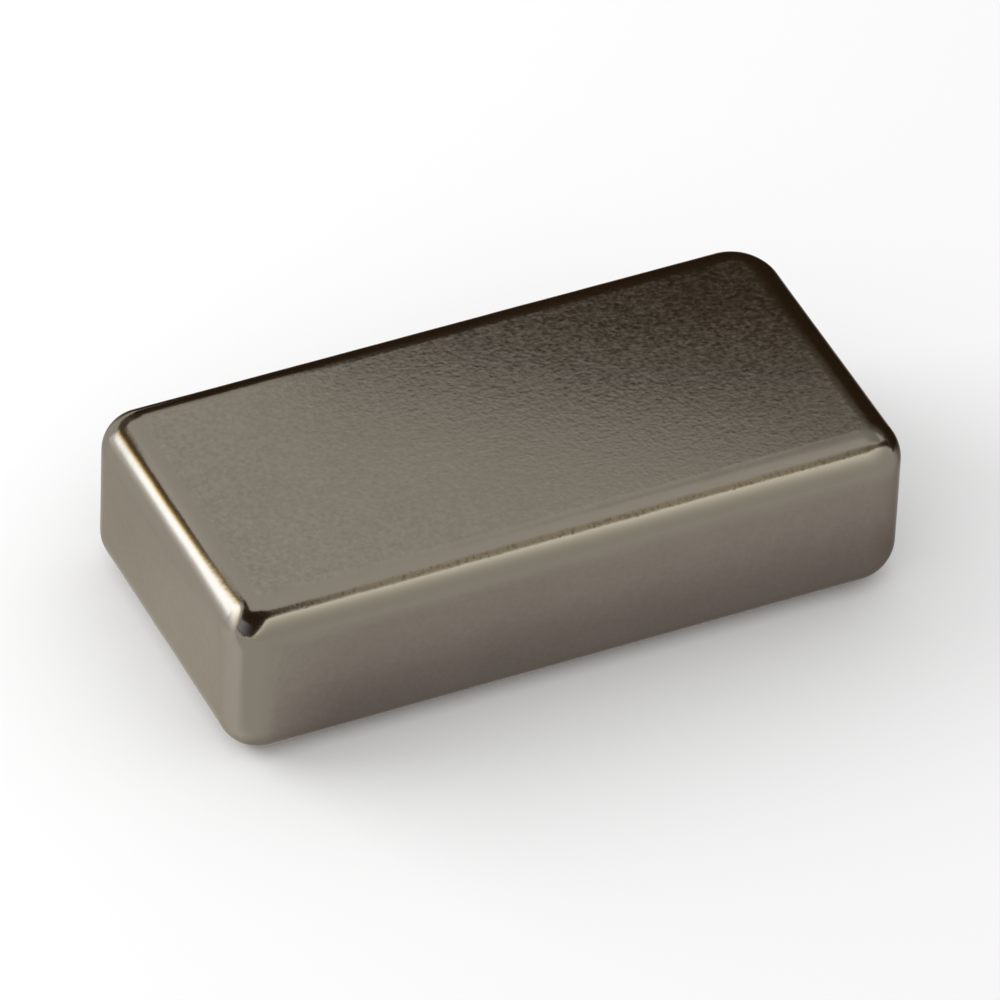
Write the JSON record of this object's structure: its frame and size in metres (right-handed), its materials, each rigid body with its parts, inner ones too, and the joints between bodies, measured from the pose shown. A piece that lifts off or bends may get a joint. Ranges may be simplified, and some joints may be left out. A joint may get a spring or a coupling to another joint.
{
  "type": "block magnet",
  "caption": "Rectangular sintered block magnet with tumbled round edges and corners and a satin nickel plate, with a flat pole face above and below.",
  "frame": {"origin": "middle of the bottom pole face, on the surface that the block stands on", "axes": "+X along the length, to the right in the picture; +Y across the width, away from the camera; +Z through the thickness, from pole face to pole face"},
  "size_m": [0.02, 0.01, 0.005],
  "materials": {
    "nickel_plate": "satin nickel plate with a fine orange-peel grain, smoother and brighter on the rounded edges"
  },
  "bodies": {
    "root": {"block_magnet": "nickel_plate"}
  },
  "joints": []
}
